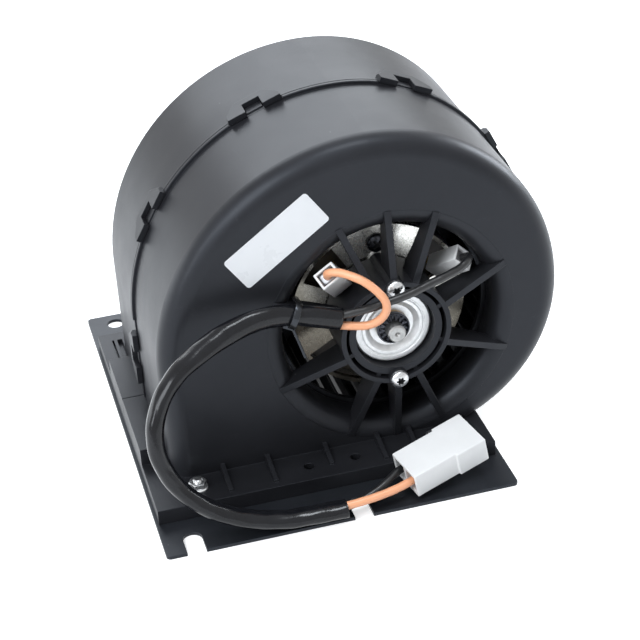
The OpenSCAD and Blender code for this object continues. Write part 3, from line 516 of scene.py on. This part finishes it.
def make_screws():
    """Two star screws in the hub and two cross screws of the motor, with painted shade in the drive.

    The star's radius is a mean and six waves; the cross is the larger of two slots at right angles."""
    columns = 96
    angle = full_turn(columns)
    star = 1.62 + 0.32 * np.cos(6 * angle)
    slot_long, slot_wide, least = 2.6, 0.62, 1e-6
    c, s = np.abs(np.cos(angle + np.pi / 4)), np.abs(np.sin(angle + np.pi / 4))
    cross = np.maximum(*(np.minimum(slot_long / np.maximum(u, least), slot_wide / np.maximum(v, least))
                         for u, v in ((c, s), (s, c))))
    for node, drive, head_r, seat, far, shank_r in (("spider_screws", star, 4, 66.5, 22.3, 2.5),
                                                    ("motor_tie_screws", cross, 4.4, 40, 31.2, 2)):
        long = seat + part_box(node)[1][1] / mm
        rows = screw_rows(drive, head_r, shank_r, long)
        faces = tube_faces(len(rows), columns)
        points, both = many(round_axis(rows, angle), faces, [(0, far, seat), (0, -far, seat)])
        piece = stand_in(node, from_wheel(points), both)
        # Painted shade: the drive's wall and floor take the dark carbon finish.
        piece.data.materials.append(finishes["carbon"])
        painted_drive_shade = np.zeros(len(faces), np.int32)
        drive_rows, drive_floor = 2, -2
        painted_drive_shade[:drive_rows * columns] = 1
        painted_drive_shade[drive_floor] = 1
        piece.data.polygons.foreach_set("material_index", np.tile(painted_drive_shade, 2))


# The four studs from the middle of the plate, and the height at which their nuts sit, in millimetres
stud_places = [(-56, -68.6, 0), (-56, 67, 0), (50, -70, 0), (50, 67, 0)]
nut_seat = 8.5


def make_studs():
    """Threaded studs on flat heads.

    The radius falls by the thread's depth as a triangle wave of height over pitch less turn."""
    columns = 24
    angle = full_turn(columns)
    end, pitch, depth, stud_r = 13.1, 0.7, 0.36, 2
    high = np.arange(nut_seat, end - 0.3, 0.1)
    wave = np.abs(2 * ((high[:, None] / pitch - angle / (2 * np.pi)) % 1) - 1)
    thread = list(zip(stud_r - depth * wave, high))
    rows = [(3, 0), (3, 0.75), (stud_r, 0.75), (stud_r, 8.4)] + thread + [(1.7, end - 0.25), (1.35, end)]
    points, faces = many(round_axis(rows, angle), tube_faces(len(rows), columns), stud_places)
    stand_in("plate_studs", points * mm + plate_mid, faces)


def make_nuts():
    """Hexagon nuts with a flange.

    The radius at each angle is the flat's distance over the cosine to its middle, and a cone cuts the top
    corners."""
    columns = 72
    angle = full_turn(columns)
    corner, high, bore = 4.05, 3.4, 2.06
    flat = corner * np.cos(np.pi / 6)
    six = flat / np.cos(angle % (np.pi / 3) - np.pi / 6)
    inner = 0.96 * flat
    cone = high - 0.58 * (six - inner)
    rows = [(bore, 0), (4.5, 0), (4.5, 0.55), (np.maximum(six, corner), 1), (six, 1.02),
            (six, cone), (inner, high), (2.5, high), (bore, 3)]
    seats = np.array(stud_places) + [0, 0, nut_seat]
    points, faces = many(round_axis(rows, angle), ring_faces(len(rows), columns), seats)
    stand_in("foot_nuts", points * mm + plate_mid, faces)


def make_lock_ring():
    """Toothed lock ring on the shaft: a plain rim, and within it teeth that rise towards the shaft.

    A tooth is a steep wave round the axis, which lifts the inner rows."""
    columns, teeth, bore = 168, 14, 4.03
    angle = full_turn(columns)
    tooth = 0.5 + 0.5 * np.tanh(3 * np.cos(teeth * angle))
    rows = [(bore, 59.7), (7.1, 59.4), (7.3, 59.7), (7.3, 61.5), (7.1, 61.8), (6.7, 61.8), (6.5, 61.5),
            (6.4, 60.6), (5.4, 60.5 + 0.9 * tooth), (4.5, 60.9 + 1.1 * tooth), (bore, 60.9 + 1.2 * tooth)]
    stand_in("retaining_ring", from_wheel(round_axis(rows, angle)), ring_faces(len(rows), columns))


def make_bells():
    """Mouths of the inlets: a quarter circle from the shell's face into the throat, the throat, and the same
    wall behind it. The edge reaches over the joint of the two solids, which are one moulding."""
    columns, face, throat_r, bell_r, back_r = 240, 60, 47, 8, 5.5
    middle_r = throat_r + bell_r
    over, proud, under = 0.3, 0.005, 0.5
    angle = full_turn(columns)
    quarter = np.linspace(0, np.pi / 2, 25)
    for node, side in (("front_inlet", 1), ("rear_inlet", -1)):
        deep = face - abs(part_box(node)[(side + 1) // 2][1]) / mm
        mouth, back = ([(middle_r - r * np.sin(t), face - bell_r + r * np.cos(t)) for t in quarter]
                       for r in (bell_r, back_r))
        throat = [(throat_r, face - deep), (middle_r - back_r, face - deep)]
        rows = [(middle_r + over, face + proud)] + mouth + throat + back[::-1] + [(55.05, face - under)]
        points = round_axis(rows, angle) * [1, 1, side]
        stand_in(node, from_wheel(points), ring_faces(len(rows), columns))


def make_terminals():
    """Terminals in the mouths of the two housings, in dark steel that is partly painted shade of the deep
    mouths: a rounded rectangle carried along the housing's own axis.

    The axes are those in which the housing's corners spread least, more and most; the mouth is at the
    front. A low power of sine and cosine makes the rectangle."""
    columns, square = 32, 0.35
    half_wide, half_high, mouth = 2.6 * mm, 3.5 * mm, 9
    angle = full_turn(columns)
    c, s = np.cos(angle), np.sin(angle)
    across, up = np.sign(c) * np.abs(c) ** square, np.sign(s) * np.abs(s) ** square
    for node in ("terminal_housing_left", "terminal_housing_right"):
        mesh = nodes[node].data
        corners = np.empty(3 * len(mesh.vertices))
        mesh.vertices.foreach_get("co", corners)
        corners = np.unique(np.round(corners.reshape(-1, 3), 7), axis=0)
        axes = np.linalg.eigh(np.cov(corners.T))[1].T
        axes[2] *= -np.sign(axes[2][1])
        places = corners @ axes.T
        middle = (places.max(0) + places.min(0)) / 2
        rows = [np.stack([half_wide * k * across, half_high * k * up, 0 * c + (mouth - deep) * mm], -1)
                + middle for k, deep in ((0.9, 7.4), (1, 7), (1, 1.5), (0.93, 1.1), (0.75, 1))]
        name = node.replace("housing", "body")
        # The terminals' dark steel is partly painted shade inside the housings.
        new_piece(name, np.array(rows) @ axes, tube_faces(len(rows), columns), "housing", "core_steel")


def make_small_pieces():
    """The turned, threaded and moulded small pieces, and housings and tie with their edges rounded."""
    make_terminals()
    make_bells()
    make_screws()
    make_studs()
    make_nuts()
    make_lock_ring()
    rounded_copy("cable_tie", 0.35 * mm)
    rounded_copy("terminal_housing_left", 0.4 * mm)
    rounded_copy("terminal_housing_right", 0.4 * mm)


# Leads: the routes of the solids in millimetres from the middle of the plate, from the motor to the plug
routes = {
    "orange_lead": [(11.4, -57.6, 91.8), (8.9, -61.5, 95.7), (9, -64.6, 98.6), (12.5, -68, 99.8),
                    (16.6, -72, 99.4), (21, -75.4, 97.6), (25.4, -77.6, 93.6), (28.6, -78.6, 88.6),
                    (28.8, -78.4, 83.6), (26, -76.8, 79), (20.6, -74.4, 76.2), (10, -72, 77.4)],
    "black_lead": [(67.4, -51.8, 86), (70.6, -56, 89.1), (71.6, -59.6, 91), (69.6, -63, 91),
                   (65, -65.8, 89.7), (58, -68.6, 89), (50, -70.6, 87.8), (42, -72.6, 86.5),
                   (33, -74, 85.4), (22, -73.8, 83.6), (11, -72.2, 82)],
    "cable_sleeve": [(11, -72, 80.2), (2, -71.2, 82.6), (-8, -70.5, 85.2), (-17, -71, 86.8),
                     (-26.2, -72.2, 86.9), (-36.5, -74.2, 85.2), (-47.4, -77.4, 82.2), (-59.6, -82, 76.8),
                     (-67.6, -86, 70.2), (-72.8, -89.8, 61.6), (-74.8, -92.8, 51), (-72.8, -95.2, 40),
                     (-66.6, -97.2, 28.4), (-56, -98.8, 18), (-42, -99.8, 10.4), (-26, -100.4, 6.2),
                     (-11, -101, 5.7), (1, -101.2, 5.7)],
    "orange_tail": [(-1, -102, 7.4), (7.8, -101.8, 7.9), (16.6, -100.8, 8.4), (24.6, -99.2, 9),
                    (30.7, -97.4, 9.8), (39.8, -95.3, 11.8)],
    "black_tail": [(-1, -99.8, 4.6), (7.8, -98.2, 5.8), (15.8, -96, 7.6), (22.2, -92.8, 9.2),
                   (28.6, -88.9, 10.6), (37.8, -86.8, 12.5)],
}
wire_r = 1.8 * mm

# Half sizes and wall of the sleeve in metres, and how far its tie is from its mouth in millimetres
sleeve_wide = 4.8 * mm
sleeve_thick = 3.7 * mm
sleeve_wall = 0.8 * mm
tie_from_mouth = 19


def place_route(name, gap):
    """Points along a route in metres, and how far along it they are in millimetres."""
    line, at = even_route(routes[name], gap)
    return line * mm + plate_mid, at


def make_lead(name, slot):
    """Round insulated wire: a circle of the wire's radius, a little uneven, carried along its route."""
    columns = 20
    line, at = place_route(name, 0.8)
    r = wire_r + (0.03 * np.sin(at * 0.9) + 0.02 * np.sin(at * 2.3 + 1)) * mm
    ring = np.repeat(r[:, None], columns, 1)
    points = swept(line, ring, ring, np.zeros(len(line)))
    piece = new_piece(name + "_wire", points, tube_faces(len(line), columns), "housing", slot)
    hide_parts(name)


def make_crimp(name):
    """Crimped barrel round the motor's end of a lead: a pipe along the first of its route."""
    columns, first, last = 24, 1, 9
    line = place_route(name, 0.5)[0][first:last]
    outer = np.full((len(line), columns), 1.4 * wire_r)
    inner = np.full((len(line), columns), 1.03 * wire_r)
    straight = np.zeros(len(line))
    rows = np.concatenate([swept(line, outer, outer, straight), swept(line, inner, inner, straight)[::-1]])
    new_piece(name + "_crimp", rows, ring_faces(len(rows), columns), "housing", "core_steel")


def make_sleeve():
    """Sleeve: an oval of waved half sizes carried along its route, hollow for some way in at both ends.

    A bell curve draws it in at the tie, a smooth step twists it by a quarter turn, and products of sines
    crease it beyond the tie."""
    line, at = place_route("cable_sleeve", 0.9)
    columns, inside = 48, 12
    tie_reach = 4
    crease_starts, crease_grows = 24, 30
    twist_starts, twist_long = 30, 55
    angle = full_turn(columns)[None, :]
    s = at[:, None]
    drawn = np.exp(-((s - tie_from_mouth) / tie_reach) ** 2)
    bent = np.clip((s - crease_starts) / crease_grows, 0, 1)
    crease = 0.09 * np.sin(s * 0.5 + 2 * np.sin(angle)) * np.sin(2 * angle + s * 0.05) * bent
    wide = sleeve_wide + (crease - 0.65 * drawn) * mm
    thick = sleeve_thick + (crease + 0.3 * drawn + 0.08 * np.cos(3 * angle + s * 0.03)) * mm
    twist = np.clip((at - twist_starts) / twist_long, 0, 1)
    turn = np.pi / 2 * twist ** 2 * (3 - 2 * twist)
    outer = swept(line, wide, thick, turn)
    inner = swept(line, wide - sleeve_wall, thick - sleeve_wall, turn)
    lip = 0.4 * inner + 0.6 * outer
    rows = np.concatenate([inner[inside:0:-1], lip[:1], outer, lip[-1:], inner[-2:-inside - 1:-1]])
    piece = new_piece("cable_sleeve_tube", rows, tube_faces(len(rows), columns), "housing", "sleeve_vinyl")
    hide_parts("cable_sleeve")


def make_leads():
    """The two leads, the sleeve, the two tails with the plug that they end in, and the leads' crimps."""
    plug = [rounded_copy("plug_housing", 0.6 * mm), nodes["plug_terminals"]]
    make_lead("orange_lead", "orange_vinyl")
    make_lead("black_lead", "black_vinyl")
    make_sleeve()
    make_lead("orange_tail", "orange_vinyl")
    make_lead("black_tail", "black_vinyl")
    make_crimp("orange_lead")
    make_crimp("black_lead")


# Studio
def shown_rays(tree):
    """A mask of the rays that show a thing itself: camera, mirror and see-through rays."""
    path = add(tree, "LightPath")
    two = add(tree, "Math", [(0, path.outputs["Is Camera Ray"]), (1, path.outputs["Is Glossy Ray"])],
              operation="MAXIMUM")
    return add(tree, "Math", [(0, two.outputs[0]), (1, path.outputs["Is Transmission Ray"])],
               operation="MAXIMUM").outputs[0]


def light_world():
    """A white room, dimmer for the light that it gives."""
    world = bpy.data.worlds.new("studio")
    bpy.context.scene.world = world
    world.use_nodes = True
    tree = world.node_tree
    room = tree.nodes["Background"]
    room.inputs["Color"].default_value = (0.88, 0.94, 1, 1)
    room.inputs["Strength"].default_value = 0.35
    white = add(tree, "Background", values={"Strength": 1, "Color": (1, 1, 1, 1)})
    pick = add(tree, "MixShader", [("Fac", shown_rays(tree)), (1, room.outputs[0]), (2, white.outputs[0])])
    tree.links.new(pick.outputs[0], tree.nodes["World Output"].inputs["Surface"])


def hang_lamp(name, place, wide, high, power):
    """A rectangular soft lamp that looks at the motor."""
    data = bpy.data.lights.new(name, "AREA")
    data.shape = "RECTANGLE"
    data.size = wide
    data.size_y = high
    data.energy = power
    data.color = (0.9, 0.95, 1)
    lamp = bpy.data.objects.new(name, data)
    bpy.context.scene.collection.objects.link(lamp)
    turn = (Vector(wheel_axis) - Vector(place)).to_track_quat("-Z", "Y").to_matrix().to_4x4()
    lamp.matrix_world = Matrix.Translation(place) @ turn


def set_studio():
    """A large lamp behind and above for the sheen of the top, a soft one from the front left, one at the
    right, and weaker ones at the left and above for the gloss of the sleeve and the left wall."""
    bpy.context.scene.view_settings.view_transform = "Standard"
    light_world()
    hang_lamp("back", (0.1, 1.1, 0.85), 1.4, 0.9, 15.2)
    hang_lamp("front left", (-0.75, -0.7, 1.0), 0.7, 0.7, 12.5)
    hang_lamp("left", (-1.0, -0.4, 0.45), 0.2, 0.5, 2.5)
    hang_lamp("top", (0.1, -0.25, 1.2), 0.3, 0.3, 5)
    hang_lamp("right", (0.9, 0.3, 0.4), 0.4, 0.5, 9)
    hang_lamp("low left", (-1.0, 0.5, 0.15), 0.9, 0.3, 2.5)


def lay_floor():
    """A pale floor that shows white and keeps the object's shadow."""
    mesh = bpy.data.meshes.new("floor")
    far, down = 6, -0.0003
    mesh.from_pydata([(-far, -far, down), (far, -far, down), (far, far, down), (-far, far, down)], [],
                     [(0, 1, 2, 3)])
    floor = bpy.data.objects.new("floor", mesh)
    bpy.context.scene.collection.objects.link(floor)
    f = Finish("floor", 0.9, gloss=0.1)
    f.shader.inputs["Base Color"].default_value = (0.8, 0.8, 0.8, 1)
    glow = add(f.tree, "Emission", values={"Strength": 0.6})
    both = add(f.tree, "AddShader", [(0, f.shader.outputs[0]), (1, glow.outputs[0])])
    pick = add(f.tree, "MixShader",
               [("Fac", shown_rays(f.tree)), (1, f.shader.outputs[0]), (2, both.outputs[0])])
    f.tree.links.new(pick.outputs[0], f.tree.nodes["Material Output"].inputs["Surface"])
    mesh.materials.append(f.material)


aim_camera()
make_leads()
make_small_pieces()
dress_solids()
set_studio()
lay_floor()
